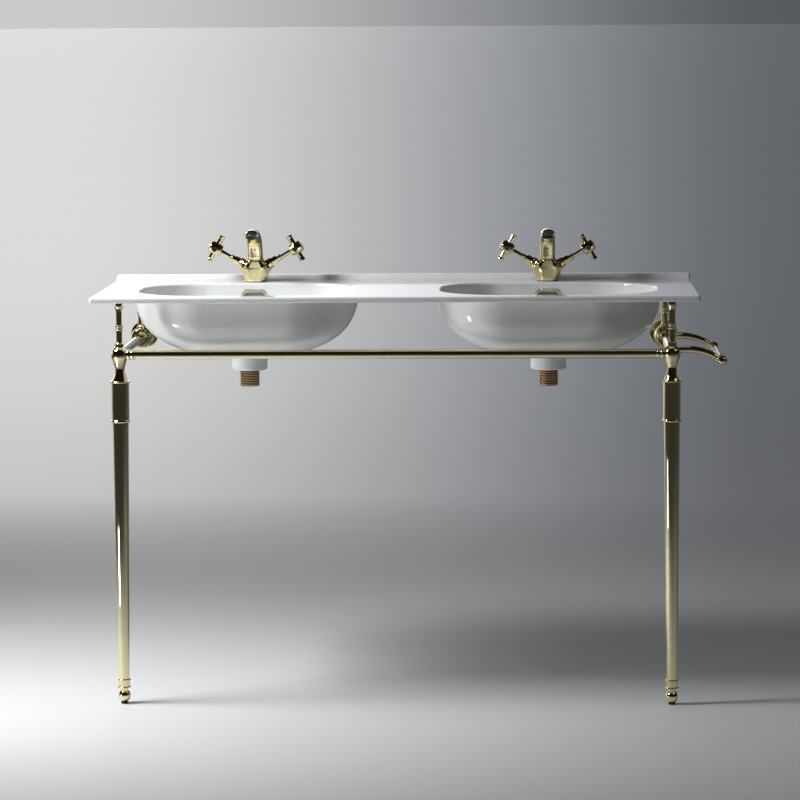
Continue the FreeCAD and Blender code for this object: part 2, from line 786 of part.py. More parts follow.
def cross_handle(side):
    """Barrel-shaped hub with four round arms that swell to their tips."""
    half = hub_diameter / 2
    rim = half - hub_barrel
    turn = hub_round * (1 - math.sqrt(0.5))
    body = turned([(0, 0), (rim - hub_round, 0), (rim - turn, turn, rim, hub_round),
                   (half, hub_length / 2, rim, hub_length - hub_round),
                   (rim - turn, hub_length - turn, rim - hub_round, hub_length), (0, hub_length)])
    reach = cross_span / 2
    thin = cross_diameter / 2
    tip = cross_tip / 2
    for number in range(4):
        arm = turned([(0, thin), (thin, thin), (thin, reach - cross_flare), (tip, reach - cross_cap),
                      (tip, reach - soft_edge), (tip - soft_edge, reach), (0, reach)])
        arm.rotate(Vector(), X_AXIS, 90)
        arm.rotate(Vector(), Z_AXIS, 90 * number)
        arm.translate(Vector(0, 0, hub_length / 2))
        body = body.fuse(arm)
    body = body.cut(rod(spindle_diameter / 2 + slip, hub_socket, Vector()))
    body = body.cut(rod(button_diameter / 2 + slip, button_inset,
                        Vector(0, 0, hub_length - button_inset)))
    spin = FreeCAD.Placement(Vector(), aim(valve_axis(side)))
    body.Placement = FreeCAD.Placement(valve_point(side, hub_start), FreeCAD.Rotation()).multiply(spin)
    return body


def index_button(side):
    half = button_diameter / 2
    base = hub_length - button_inset
    edge = base + button_thickness - soft_edge
    return turned([(0, base), (half, base), (half, edge), crown(half, edge, edge + soft_edge)],
                  valve_point(side, hub_start), valve_axis(side))


def tap_gasket_ring():
    return ring(tap_base / 2 - soft_edge, shank_diameter / 2 + slip, tap_gasket, Vector())


def tap_washer():
    return ring(tap_washer_diameter / 2, shank_diameter / 2 + slip, tap_washer_thickness,
                Vector(0, 0, underside - tap_washer_thickness))


def tap_nut():
    base = Vector(0, 0, underside - tap_washer_thickness - tap_nut_thickness)
    nut = prism(6, tap_nut_across, tap_nut_thickness, base)
    return nut.cut(rod(shank_diameter / 2 + slip, tap_nut_thickness, base))


# ---- legs, drawn on their axis at the front right-hand corner ----
LEG = Vector(leg_x, leg_y, 0)
CORNER = Vector(leg_x, leg_y, rail_level)


def corner_casting():
    """Ball, waist, bell and flange in one casting, with a spigot for the leg and the two rails."""
    ball = ball_diameter / 2
    collar = collar_diameter / 2
    waist = waist_diameter / 2
    bell = bell_diameter / 2
    flange = leg_flange / 2
    spigot = tube_bore_top / 2 - slip
    meet = math.sqrt(ball ** 2 - collar ** 2)
    low = -ball * ball_hold
    wide = math.sqrt(ball ** 2 - low ** 2)
    under = -bell_drop - leg_flange_thickness
    flange_mid = -bell_drop - leg_flange_thickness / 2
    flange_edge = flange - ring_round
    body = turned([(0, collar_rise), (0, under - leg_spigot_length),
                   (spigot, under - leg_spigot_length), (spigot, under), (flange_edge, under),
                   (flange, flange_mid, flange_edge, -bell_drop), (bell, -bell_drop),
                   (waist + (bell - waist) * bell_sweep_out,
                    -waist_drop - (bell_drop - waist_drop) * bell_sweep_down, waist, -waist_drop),
                   (waist + (wide - waist) * waist_sweep,
                    -waist_drop + (waist_drop + low) * (1 - waist_sweep), wide, low),
                   (ball, 0, collar, meet), (collar, collar_rise)], CORNER)
    for axis in (X_AXIS * -1, Y_AXIS):
        # a flat face on the ball for the ferrule, with the rail's spigot standing on it
        body = body.fuse(rod(ball_boss / 2, ferrule_seat, CORNER, axis))
        body = body.cut(rod(ball, ball, CORNER + axis * ferrule_seat, axis))
        body = body.fuse(rod(rail_spigot / 2, rail_start + spigot_in_rail, CORNER, axis))
    return body.cut(rod(post_stud / 2 + slip, post_stud_length + over,
                        Vector(leg_x, leg_y, post_seat + over), Z_AXIS * -1))


def leg_sleeve():
    half = sleeve_diameter / 2
    bore = tube_top / 2 + slip
    band = sleeve_ring / 2
    ring_mid = sleeve_ring_height / 2
    return turned([(bore, 0), (half, 0), (half, sleeve_ring_height - sleeve_length),
                   (band - ring_round, sleeve_ring_height - sleeve_length),
                   (band, ring_mid - sleeve_length, band - ring_round, -sleeve_length),
                   (bore, -sleeve_length)], LEG + Vector(0, 0, sleeve_top))


def leg_tube():
    top = tube_top / 2
    bottom = tube_bottom / 2
    return turned([(bottom - tube_wall, tube_foot), (bottom, tube_foot), (bottom, ankle_top),
                   (top, sleeve_bottom), (top, sleeve_top), (top - tube_wall, sleeve_top),
                   (top - tube_wall, sleeve_bottom), (bottom - tube_wall, ankle_top)], LEG)


def foot_ferrule():
    half = ankle_diameter / 2
    band = ankle_ring / 2
    bore = tube_bottom / 2 + slip
    narrow = foot_neck / 2 + gap
    low = ankle_bottom + ankle_ring_height
    high = ankle_top - ankle_ring_height
    edge = band - soft_edge
    return turned([(narrow, ankle_bottom), (edge, ankle_bottom),
                   (band, ankle_bottom + ankle_ring_height / 2, edge, low), (half, low),
                   (half, high), (edge, high),
                   (band, high + ankle_ring_height / 2, edge, ankle_top),
                   (bore, ankle_top), (bore, tube_foot), (narrow, tube_foot)], LEG)


def leg_insert():
    """Threaded plug fixed in the tube's lower end, which takes the foot's screw."""
    base = ankle_bottom + foot_neck_in + foot_up + foot_stop
    return ring(tube_bore_bottom / 2 - slip, foot_thread / 2 + running, insert_length,
                LEG + Vector(0, 0, base))


def levelling_foot():
    ball = foot_ball / 2
    centre = floor + foot_centre
    base = floor + glide_height
    neck = foot_neck / 2
    screw = foot_thread / 2
    cut = math.sqrt(ball ** 2 - (base - centre) ** 2)
    meet = centre + math.sqrt(ball ** 2 - neck ** 2)
    neck_top = ankle_bottom + foot_neck_in
    pin = glide_pin / 2 + slip
    return turned([(pin, base), (cut, base), (ball, centre, neck, meet), (neck, neck_top),
                   (screw, neck_top), (screw, neck_top + foot_thread_length),
                   (0, neck_top + foot_thread_length), (0, base + glide_pin_length),
                   (pin, base + glide_pin_length)], LEG)


def foot_glide():
    half = glide_diameter / 2
    top = floor + glide_height
    pin = glide_pin / 2
    return turned([(0, floor), (half - soft_edge, floor), (half, floor + soft_edge), (half, top),
                   (pin, top), (pin, top + glide_pin_length - gap),
                   (0, top + glide_pin_length - gap)], LEG)


# ---- posts between the stand and the top ----
def post(base):
    """Turned post with a flared base, a double ring and a flanged head under its pad."""
    shaft = post_diameter / 2
    foot = post_base / 2
    band = post_ring / 2
    head = post_flange / 2
    top = post_top - post_seat
    low = top - post_flange_height
    stud = post_stud / 2
    seat = pad_seat / 2
    bead = post_ring_step * post_ring_share
    ledge = head - post_flange_ledge
    flange_mid = low + post_flange_edge / 2
    flange_top = low + post_flange_edge
    profile = [(0, -post_stud_length), (stud, -post_stud_length), (stud, 0), (foot, 0),
               (foot, post_base_height),
               (shaft + soft_edge, (post_base_height + post_base_sweep) / 2 - soft_edge,
                shaft, post_base_sweep)]
    for number in range(2):
        middle = post_ring_height + number * post_ring_step
        profile += [(shaft, middle - bead), (band, middle, shaft, middle + bead)]
    profile += [(shaft, low - post_head_sweep),
                (shaft + soft_edge, low - post_head_sweep * post_ring_share, ledge, low),
                (head - soft_edge, low), (head, flange_mid, head - soft_edge, flange_top),
                (seat, flange_top), (seat, top), (0, top)]
    return turned(profile, base)


def post_pad(base):
    return rod(pad_diameter / 2, pad_thickness, base + Vector(0, 0, post_top - post_seat))


FRONT_SEAT = Vector(leg_x, leg_y, post_seat)
REAR_SEAT = Vector(leg_x, -hub_setback, post_seat)


# ---- rails and their ferrules ----
def ferrule(base, axis):
    """Double-beaded ring between a ball or hub and the rail's end."""
    bore = rail_spigot / 2 + slip
    bead = ferrule_bead / 2
    neck = ferrule_neck / 2
    run = (ferrule_length - ferrule_groove) / 2
    second = run + ferrule_groove
    return turned([(bore, 0), (neck, 0), (bead, run / 2, neck, run), (neck, second),
                   (bead, second + run / 2, neck, ferrule_length), (bore, ferrule_length)],
                  base, axis)


def front_rail():
    start = leg_x - rail_start
    return ring(rail_diameter / 2, rail_diameter / 2 - rail_wall, 2 * start,
                Vector(-start, leg_y, rail_level), X_AXIS)


def side_rail():
    return ring(rail_diameter / 2, rail_diameter / 2 - rail_wall, side_rail_back - side_rail_front,
                Vector(leg_x, side_rail_front, rail_level), Y_AXIS)


def rail_ferrules():
    rings = []
    for side in SIDES.values():
        rings.append(ferrule(Vector(side * (leg_x - ferrule_seat), leg_y, rail_level),
                             X_AXIS * -side))
        rings.append(ferrule(Vector(side * leg_x, leg_y + ferrule_seat, rail_level), Y_AXIS))
        rings.append(ferrule(Vector(side * leg_x, hub_front, rail_level), Y_AXIS * -1))
    return group(rings)


# ---- wall fittings, drawn on the right-hand side ----
def hub_drum():
    half = wall_hub / 2
    length = wall_hub_length
    side = half - drum_barrel
    return turned([(0, 0), (half - drum_rim - soft_edge, 0), (half - drum_rim, drum_step),
                   (side, drum_step), (half, length / 2, side, length - drum_step),
                   (half - drum_rim, length), (0, length)],
                  Vector(leg_x, hub_front, rail_level), Y_AXIS)


def rear_hub():
    front = Vector(leg_x, hub_front, rail_level)
    centre = Vector(leg_x, -hub_setback, rail_level)
    body = hub_drum().fuse(rod(collar_diameter / 2, collar_rise, centre))
    body = body.cut(rod(post_base / 2 + gap, wall_hub / 2, REAR_SEAT))
    body = body.fuse(rod(rail_spigot / 2, ferrule_length + spigot_in_rail, front, Y_AXIS * -1))
    body = body.cut(rod(plate_pin / 2 + slip, plate_pin_in, Vector(leg_x, hub_back, rail_level),
                        Y_AXIS * -1))
    return body.cut(rod(post_stud / 2 + slip, post_stud_length + over, REAR_SEAT + Z_AXIS * over,
                        Z_AXIS * -1))


def wall_flange():
    """Cover that slides over the wall plate, with its rim on the wall."""
    rim = wall_disc / 2
    neck = wall_neck / 2
    deep = -hub_back
    room = plate_diameter / 2 + gap
    bore = plate_pin / 2 + slip
    return turned([(room, 0), (rim, 0), (rim, wall_disc_edge - ring_round),
                   (rim - ring_round, wall_disc_edge),
                   (rim - wall_disc_band, wall_disc_edge + wall_disc_rise),
                   (neck + wall_ogee_out, wall_disc_edge + wall_ogee * wall_ogee_share,
                    neck, wall_disc_edge + wall_ogee),
                   (neck, deep), (bore, deep), (bore, plate_thickness + gap),
                   (room, plate_thickness + gap)],
                  Vector(leg_x, 0, rail_level), Y_AXIS * -1)


def wall_plate():
    centre = Vector(leg_x, 0, rail_level)
    plate = rod(plate_diameter / 2, plate_thickness, centre, Y_AXIS * -1)
    plate = plate.fuse(rod(plate_pin / 2, plate_pin_in - gap - hub_back, centre, Y_AXIS * -1))
    for number in range(plate_holes):
        angle = math.radians(90 + 360 * number / plate_holes)
        offset = Vector(math.cos(angle), 0, math.sin(angle)) * (plate_bolt_circle / 2)
        plate = plate.cut(rod(plate_hole / 2, plate_thickness, centre + offset, Y_AXIS * -1))
    return plate


# ---- towel rail on the right-hand side ----
def arm_point(out):
    """Point of the arm's centre line, and its heading, at a distance out from the leg's axis."""
    across = out - arm_apex_out
    up = arm_apex_up - arm_radius + math.sqrt(arm_radius ** 2 - across ** 2)
    lean = math.asin(across / arm_radius)
    return Vector(out, 0, up), Vector(math.cos(lean), 0, -math.sin(lean))


def towel_arm(centre, carrier):
    """Tapered, curved arm with a collar at its tip, seated against the piece that carries it."""
    wires = []
    for number in range(arm_stations):
        share = number / (arm_stations - 1)
        point, heading = arm_point(arm_bury + (arm_reach - arm_bury) * share)
        radius = (arm_root + (arm_tip - arm_root) * share) / 2
        circle = Part.Circle(point, heading, radius)
        circle.XAxis = Y_AXIS
        wires.append(Part.Wire(circle.toShape()))
    arm = Part.makeLoft(wires, True, False)
    tip, heading = arm_point(arm_reach)
    half = arm_collar / 2
    deep = arm_collar_thickness
    arm = arm.fuse(turned([(0, -weld), (arm_tip / 2 - weld, -weld), (arm_tip / 2 + weld / 2, 0),
                           (half - soft_edge, 0), (half, deep / 2, half - soft_edge, deep),
                           (0, deep)], tip, heading))
    arm.translate(centre)
    return arm.cut(carrier)


def knob_centre(centre):
    tip, heading = arm_point(arm_reach)
    return centre + tip + heading * (arm_collar_thickness + knob_diameter * knob_seat)


def towel_knob(centre):
    tip, heading = arm_point(arm_reach)
    seat = centre + tip + heading * arm_collar_thickness
    ball = Part.makeSphere(knob_diameter / 2, knob_centre(centre))
    return ball.cut(rod(knob_diameter, knob_diameter, seat, heading * -1))


def towel_bar(front, rear):
    run = rear - front
    bar = rod(towel_bar_diameter / 2, run.Length, front, run)
    for centre in (front, rear):
        bar = bar.cut(Part.makeSphere(knob_diameter / 2, centre))
    return bar


# ---- build and write every node ----
def build():
    nodes = {"basin_top": basin_top()}
    nodes["overflow_rings"] = group([shifted(overflow_ring(), Vector(side * bowl_x, 0, 0))
                                     for side in SIDES.values()])
    seals = []
    waste_nuts = []
    gaskets = []
    washers_and_nuts = []
    aerators = []
    for name, side in SIDES.items():
        drain = Vector(side * bowl_x, -drain_setback, 0)
        nodes["waste_body_" + name] = shifted(waste_body(), drain)
        nodes["plug_" + name] = shifted(plug(), drain)
        nodes["plug_seal_" + name] = shifted(plug_seal(), drain)
        seals += [shifted(seal, drain) for seal in waste_seals()]
        waste_nuts.append(shifted(waste_nut(), drain))
        tap = Vector(side * bowl_x, -tap_setback, 0)
        nodes["tap_body_" + name] = shifted(tap_body(), tap)
        aerators.append(shifted(aerator(), tap))
        gaskets.append(shifted(tap_gasket_ring(), tap))
        washers_and_nuts += [shifted(tap_washer(), tap), shifted(tap_nut(), tap)]
        nodes["valve_bonnets_" + name] = group([shifted(bonnet(hand), tap)
                                                for hand in SIDES.values()])
        for water, hand in (("hot", -1), ("cold", 1)):
            place = name + "_" + water
            nodes["handle_" + place] = shifted(cross_handle(hand), tap)
            nodes["spindle_" + place] = shifted(spindle(hand), tap)
            nodes["index_" + place] = shifted(index_button(hand), tap)
    nodes["waste_seals"] = group(seals)
    nodes["waste_nuts"] = group(waste_nuts)
    nodes["tap_gaskets"] = group(gaskets)
    nodes["tap_fixings"] = group(washers_and_nuts)
    nodes["aerators"] = group(aerators)

    corner = corner_casting()
    hub = rear_hub()
    insert = leg_insert()
    pads = [post_pad(FRONT_SEAT), post_pad(REAR_SEAT)]
    plate = wall_plate()
    pieces = {"corner_casting": corner, "leg_sleeve": leg_sleeve(), "leg_tube": leg_tube(),
              "foot_ferrule": foot_ferrule(), "levelling_foot": levelling_foot(),
              "foot_glide": foot_glide(), "front_post": post(FRONT_SEAT),
              "rear_post": post(REAR_SEAT), "side_rail": side_rail(), "rear_hub": hub,
              "wall_flange": wall_flange()}
    for name, side in SIDES.items():
        for piece, shape in pieces.items():
            nodes[piece + "_" + name] = sided(shape, side)
    nodes["leg_inserts"] = group([sided(insert, side) for side in SIDES.values()])
    nodes["post_pads"] = group([sided(pad, side) for side in SIDES.values() for pad in pads])
    nodes["wall_plates"] = group([sided(plate, side) for side in SIDES.values()])
    nodes["front_rail"] = front_rail()
    nodes["rail_ferrules"] = rail_ferrules()

    # the rear arm is the same casting, seated lower and on the wider drum
    rear = Vector(leg_x + (wall_hub - ball_diameter) / 2, -hub_setback, rail_level - arm_rear_drop)
    nodes["towel_arm_front"] = towel_arm(CORNER, Part.makeSphere(ball_diameter / 2, CORNER))
    nodes["towel_arm_rear"] = towel_arm(rear, hub_drum())
    nodes["towel_knobs"] = group([towel_knob(CORNER), towel_knob(rear)])
    nodes["towel_bar"] = towel_bar(knob_centre(CORNER), knob_centre(rear))
    return nodes


os.makedirs("parts", exist_ok=True)
for node, shape in build().items():
    save(node, shape)
    print(node, len(shape.Solids), "solid(s)", "valid" if shape.isValid() else "NOT VALID",
          round(shape.Volume))
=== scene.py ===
import math

import bmesh
import bpy
from mathutils import Matrix, Vector


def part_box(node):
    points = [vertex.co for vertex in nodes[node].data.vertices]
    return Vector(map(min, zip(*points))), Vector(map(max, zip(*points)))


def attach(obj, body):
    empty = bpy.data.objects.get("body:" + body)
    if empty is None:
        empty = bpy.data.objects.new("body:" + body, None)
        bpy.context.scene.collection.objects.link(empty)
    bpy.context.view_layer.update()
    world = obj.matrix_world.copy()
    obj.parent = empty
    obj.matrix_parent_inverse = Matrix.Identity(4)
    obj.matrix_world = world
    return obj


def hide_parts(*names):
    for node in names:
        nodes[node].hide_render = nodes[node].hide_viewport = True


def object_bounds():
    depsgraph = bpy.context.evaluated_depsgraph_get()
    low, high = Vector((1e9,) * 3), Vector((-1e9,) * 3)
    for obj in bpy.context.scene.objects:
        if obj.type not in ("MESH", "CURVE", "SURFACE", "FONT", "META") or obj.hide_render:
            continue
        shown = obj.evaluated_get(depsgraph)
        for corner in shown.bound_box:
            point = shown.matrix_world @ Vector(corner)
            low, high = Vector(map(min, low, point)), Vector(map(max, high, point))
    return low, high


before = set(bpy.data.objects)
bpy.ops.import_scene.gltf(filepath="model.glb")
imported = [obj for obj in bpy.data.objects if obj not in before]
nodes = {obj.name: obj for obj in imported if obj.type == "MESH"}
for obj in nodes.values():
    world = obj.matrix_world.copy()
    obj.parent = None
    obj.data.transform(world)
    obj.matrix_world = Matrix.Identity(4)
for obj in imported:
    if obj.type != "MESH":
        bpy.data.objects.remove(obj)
cad_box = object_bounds()
scene = bpy.context.scene


# ---- Camera -------------------------------------------------------------------------------
# The photograph looks almost square on from 7 m away and a little above the deck, with its
# upright lines kept nearly parallel: a long lens with a small fall of the frame.
photo_side = 800                # pixels
lens_pixels = 3183.3            # focal length in the photograph's pixels
frame_fall = -100               # pixels by which the frame is shifted down
sensor_side = 36                # millimetres
camera_place = Vector((0.2789, -6.9289, 0.5599))
camera_yaw, camera_pitch, camera_roll = (math.radians(a) for a in (2.358, 5.004, -0.385))

lens = bpy.data.cameras.new("photograph")
lens.sensor_width = sensor_side
lens.lens = lens_pixels / photo_side * sensor_side
lens.shift_y = frame_fall / photo_side
camera = bpy.data.objects.new("photograph", lens)
scene.collection.objects.link(camera)
camera.matrix_world = (Matrix.Translation(camera_place) @ Matrix.Rotation(camera_yaw, 4, "Z")
                       @ Matrix.Rotation(math.pi / 2 - camera_pitch, 4, "X")
                       @ Matrix.Rotation(camera_roll, 4, "Z"))
scene.camera = camera


# ---- Floor and light ----------------------------------------------------------------------
# A plain floor of smoothed screed, and soft lamps close on the left, so that light falls off
# to the right. The studio is pale low down behind the piece and nearly dark elsewhere, which
# draws the black stripes on polished brass.
floor_level = cad_box[0].z
floor_reach = 900.0             # metres each way
clouds_per_metre = 1.3          # soft patches left by the float
rough_near, rough_far = 0.5, 0.2
near_line, far_line = -0.3, 2.5         # metres along Y, between which the sheen grows


def srgb(code):
    """Linear RGBA of an sRGB hex colour."""
    channels = [int(code[i:i + 2], 16) / 255 for i in (1, 3, 5)]
    return [c / 12.92 if c <= 0.04045 else ((c + 0.055) / 1.055) ** 2.4 for c in channels] + [1]


def add(tree, kind, settings=None, links=None):
    """Add a node: settings are its properties or its sockets' values, links feed its sockets."""
    made = tree.nodes.new(kind)
    for key, value in (settings or {}).items():
        if isinstance(key, str) and hasattr(made, key):
            setattr(made, key, value)
        else:
            made.inputs[key].default_value = value
    for key, source in (links or {}).items():
        tree.links.new(source, made.inputs[key])
    return made


def new_material(name):
    """An empty material: the material, its tree and its output."""
    material = bpy.data.materials.new(name)
    material.use_nodes = True
    material.node_tree.nodes.clear()
    return material, material.node_tree, material.node_tree.nodes.new("ShaderNodeOutputMaterial")


floor_mesh = bpy.data.meshes.new("floor")
floor_mesh.from_pydata([(x * floor_reach, y * floor_reach, floor_level)
                        for x, y in ((-1, -1), (1, -1), (1, 1), (-1, 1))], [], [(0, 1, 2, 3)])
floor = bpy.data.objects.new("floor", floor_mesh)
scene.collection.objects.link(floor)

# Screed: trowelled cement, matt in front and with more sheen at the back.
pale_floor, tree, out = new_material("pale_screed")
place = add(tree, "ShaderNodeTexCoord")
cloud = add(tree, "ShaderNodeTexNoise", {"Scale": clouds_per_metre, "Detail": 4.0},
            {"Vector": place.outputs["Object"]})
tone = add(tree, "ShaderNodeMix", {"data_type": "RGBA", 6: srgb("#DEE0E3"), 7: srgb("#E4E5E7")},
           {0: cloud.outputs["Fac"]})
depth = add(tree, "ShaderNodeSeparateXYZ", {}, {0: place.outputs["Object"]})
sheen = add(tree, "ShaderNodeMapRange",
            {"From Min": near_line, "From Max": far_line,
             "To Min": rough_near, "To Max": rough_far},
            {"Value": depth.outputs["Y"]})
shade = add(tree, "ShaderNodeBsdfPrincipled", {},
            {"Base Color": tone.outputs[2], "Roughness": sheen.outputs[0]})
tree.links.new(shade.outputs[0], out.inputs[0])
floor_mesh.materials.append(pale_floor)

# The studio all round, by the direction's X, Y and Z. These are parts of a unit length.
left_edge, right_edge = -0.15, 0.09     # X from the bright left to the dim right
left_level, right_level = 2.0, 0.37     # brightness there
dark_front, pale_back = -0.1, 0.7       # Y from dark to fully pale
horizon, haze_top = 0.004, 0.1          # Z between which a haze clears
haze_share = 0.33                       # what the haze lets through at the horizon
band_top, dark_top = 0.08, 0.4          # Z between which the pale band ends
top_share = 0.05                        # what is left of it above
room_level = 0.012                      # brightness everywhere else

world = bpy.data.worlds.new("studio")
world.use_nodes = True
tree = world.node_tree
tree.nodes.clear()
way = add(tree, "ShaderNodeTexCoord")
parts = add(tree, "ShaderNodeSeparateXYZ", {}, {0: way.outputs["Generated"]})
soft = {"interpolation_type": "SMOOTHSTEP"}
behind = add(tree, "ShaderNodeMapRange", {**soft, "From Min": dark_front, "From Max": pale_back},
             {"Value": parts.outputs["Y"]})
haze = add(tree, "ShaderNodeMapRange",
           {**soft, "From Min": horizon, "From Max": haze_top, "To Min": haze_share},
           {"Value": parts.outputs["Z"]})
low = add(tree, "ShaderNodeMapRange",
          {**soft, "From Min": band_top, "From Max": dark_top, "To Min": 1.0, "To Max": top_share},
          {"Value": parts.outputs["Z"]})
across = add(tree, "ShaderNodeMapRange", {**soft, "From Min": left_edge, "From Max": right_edge},
             {"Value": parts.outputs["X"]})
side = add(tree, "ShaderNodeMath",
           {"operation": "MULTIPLY_ADD", 1: right_level - left_level, 2: left_level},
           {0: across.outputs[0]})
level = add(tree, "ShaderNodeMath", {"operation": "MULTIPLY"},
            {0: behind.outputs[0], 1: low.outputs[0]})
level = add(tree, "ShaderNodeMath", {"operation": "MULTIPLY"},
            {0: level.outputs[0], 1: haze.outputs[0]})
level = add(tree, "ShaderNodeMath", {"operation": "MULTIPLY_ADD", 2: room_level},
            {0: level.outputs[0], 1: side.outputs[0]})
# white to bluish from left to right behind the piece, and warm in the room in front of it
tint = add(tree, "ShaderNodeMix", {"data_type": "RGBA", 6: srgb("#F2F1EF"), 7: srgb("#D9E0EC")},
           {0: across.outputs[0]})
tint = add(tree, "ShaderNodeMix", {"data_type": "RGBA", 6: srgb("#E9D8B8")},
           {0: behind.outputs[0], 7: tint.outputs[2]})
air = add(tree, "ShaderNodeBackground", {},
          {"Color": tint.outputs[2], "Strength": level.outputs[0]})
add(tree, "ShaderNodeOutputWorld", {}, {"Surface": air.outputs[0]})
scene.world = world


def add_lamp(name, place, aim, size, power, spread=180, glossy=True):
    """A square lamp; one that isn't glossy lights the piece but shows in no reflection."""
    lamp = bpy.data.lights.new(name, "AREA")
    lamp.size = size
    lamp.energy = power
    lamp.spread = math.radians(spread)
    holder = bpy.data.objects.new(name, lamp)
    scene.collection.objects.link(holder)
    holder.location = place
    holder.rotation_euler = (Vector(aim) - Vector(place)).to_track_quat("-Z", "Y").to_euler()
    holder.visible_camera = False
    holder.visible_glossy = glossy


# the key lamp casts the shadows; the others lift the bowls from the left and from below, the
# deck from above, and the floor
add_lamp("key_lamp", place=(-1.35, -0.68, 0.95), aim=(-0.1, -0.25, -0.3), size=0.5, power=11,
         spread=110)
add_lamp("left_panel", place=(-2.7, -0.8, -0.35), aim=(0.1, -0.42, -0.04), size=0.5, power=2.4,
         spread=45, glossy=False)
add_lamp("low_lamp", place=(-1.25, -0.95, -0.72), aim=(-0.1, -0.3, -0.15), size=0.18, power=0.5,
         spread=90)
add_lamp("right_floor_lamp", place=(1.7, -1.0, 0.9), aim=(1.5, -1.0, -0.85), size=0.6, power=1.2,
         spread=110)
add_lamp("ceiling_panel", place=(0, -0.6, 1.3), aim=(0, -0.45, 0), size=1.5, power=2.0,
         glossy=False)
add_lamp("floor_lamp", place=(-1.5, -0.5, 1.2), aim=(-1.2, -0.6, -0.85), size=0.5, power=8,
         spread=80)

scene.view_settings.view_transform = "Standard"


# ---- Ceramic top --------------------------------------------------------------------------
# One slip casting of vitreous china: deck, rear upstand, two bowls with their drain bosses and
# overflow ducts. It is glazed all over and fired once; only the back edge is ground flat, and
# shows the bare body.
glaze_white = "#F2F4F6"
glaze_thin = "#ECEEF0"          # where the glaze lies thinner
glaze_ripple = 0.035            # metres from ripple to ripple
bare_body = "#DDD5C4"           # ground china
body_grain = 0.0012             # metres from grain to grain
ground_depth = 0.0008           # metres of the edge that are bare


def dress(material, *names):
    """Give CAD nodes' objects their finish."""
    for name in names:
        for holder in nodes[name].material_slots:
            holder.material = material


# Fired glaze: a glassy white skin, very smooth, with long shallow ripples where it ran. The
# ground edge is matt and cream, with the body's grain.
china, tree, out = new_material("glazed_vitreous_china")
place = add(tree, "ShaderNodeTexCoord")
ripple = add(tree, "ShaderNodeTexNoise", {"Scale": 1 / glaze_ripple, "Detail": 1.5},
             {"Vector": place.outputs["Object"]})
grit = add(tree, "ShaderNodeTexNoise", {"Scale": 1 / body_grain, "Detail": 3.0},
           {"Vector": place.outputs["Object"]})
depth = add(tree, "ShaderNodeSeparateXYZ", {}, {0: place.outputs["Object"]})
ground = add(tree, "ShaderNodeMapRange",
             {"From Min": -ground_depth, "From Max": -ground_depth / 2},
             {"Value": depth.outputs["Y"]})
wave = add(tree, "ShaderNodeBump", {"Strength": 0.05, "Distance": 0.001},
           {"Height": ripple.outputs["Fac"]})
tooth = add(tree, "ShaderNodeBump", {"Strength": 0.5, "Distance": 0.0002},
            {"Height": grit.outputs["Fac"]})
white = add(tree, "ShaderNodeMix", {"data_type": "RGBA", 6: srgb(glaze_white), 7: srgb(glaze_thin)},
            {0: ripple.outputs["Fac"]})
glassy = add(tree, "ShaderNodeMapRange", {"To Min": 0.03, "To Max": 0.07},
             {"Value": ripple.outputs["Fac"]})
glazed = add(tree, "ShaderNodeBsdfPrincipled", {"IOR": 1.52},
             {"Base Color": white.outputs[2], "Roughness": glassy.outputs[0],
              "Normal": wave.outputs[0]})
bare = add(tree, "ShaderNodeBsdfPrincipled", {"Base Color": srgb(bare_body), "Roughness": 0.85},
           {"Normal": tooth.outputs[0]})
shade = add(tree, "ShaderNodeMixShader", {},
            {0: ground.outputs[0], 1: glazed.outputs[0], 2: bare.outputs[0]})
tree.links.new(shade.outputs[0], out.inputs[0])

dress(china, "basin_top")


# ---- Overflow rings -----------------------------------------------------------------------
# An eight-sided pressed brass trim is pushed into each bowl's overflow from the front. It is
# polished and plated paler than the taps, and lies on the glaze.
film_patch = 0.015              # metres across a patch left by lacquer and handling
hand_wave = 0.02                # metres from wave to wave of hand polishing


def brass(name, warm, pale, grain, wobble=0.0):
    """Polished brass: two tints, polishing lines per metre along x, y and z, and hand waves."""
    material, tree, out = new_material(name)
    place = add(tree, "ShaderNodeTexCoord")
    stretch = add(tree, "ShaderNodeMapping", {"Scale": grain}, {"Vector": place.outputs["Object"]})
    lines = add(tree, "ShaderNodeTexNoise", {"Scale": 1.0, "Detail": 2.0},
                {"Vector": stretch.outputs[0]})
    film = add(tree, "ShaderNodeTexNoise", {"Scale": 1 / film_patch, "Detail": 3.0},
               {"Vector": place.outputs["Object"]})
    tone = add(tree, "ShaderNodeMix", {"data_type": "RGBA", 6: srgb(warm), 7: srgb(pale)},
               {0: film.outputs["Fac"]})
    gloss = add(tree, "ShaderNodeMapRange", {"To Min": 0.015, "To Max": 0.06},
                {"Value": film.outputs["Fac"]})
    buffed = add(tree, "ShaderNodeBump", {"Strength": 0.04, "Distance": 0.0001},
                 {"Height": lines.outputs["Fac"]})
    # a casting polished by hand keeps long low waves, which make its reflections swim
    hand = add(tree, "ShaderNodeTexNoise", {"Scale": 1 / hand_wave, "Detail": 0.0},
               {"Vector": place.outputs["Object"]})
    swim = add(tree, "ShaderNodeBump", {"Strength": wobble, "Distance": 0.001},
               {"Height": hand.outputs["Fac"], "Normal": buffed.outputs[0]})
    shade = add(tree, "ShaderNodeBsdfPrincipled", {"Metallic": 1.0},
                {"Base Color": tone.outputs[2], "Roughness": gloss.outputs[0],
                 "Normal": swim.outputs[0]})
    tree.links.new(shade.outputs[0], out.inputs[0])
    return material


# Pressed trim: no grain direction, so its polish is as fine one way as another.
ring_brass = brass("plated_trim_brass", "#EAE2C4", "#F1ECD6", (1200, 1200, 1200))
dress(ring_brass, "overflow_rings")


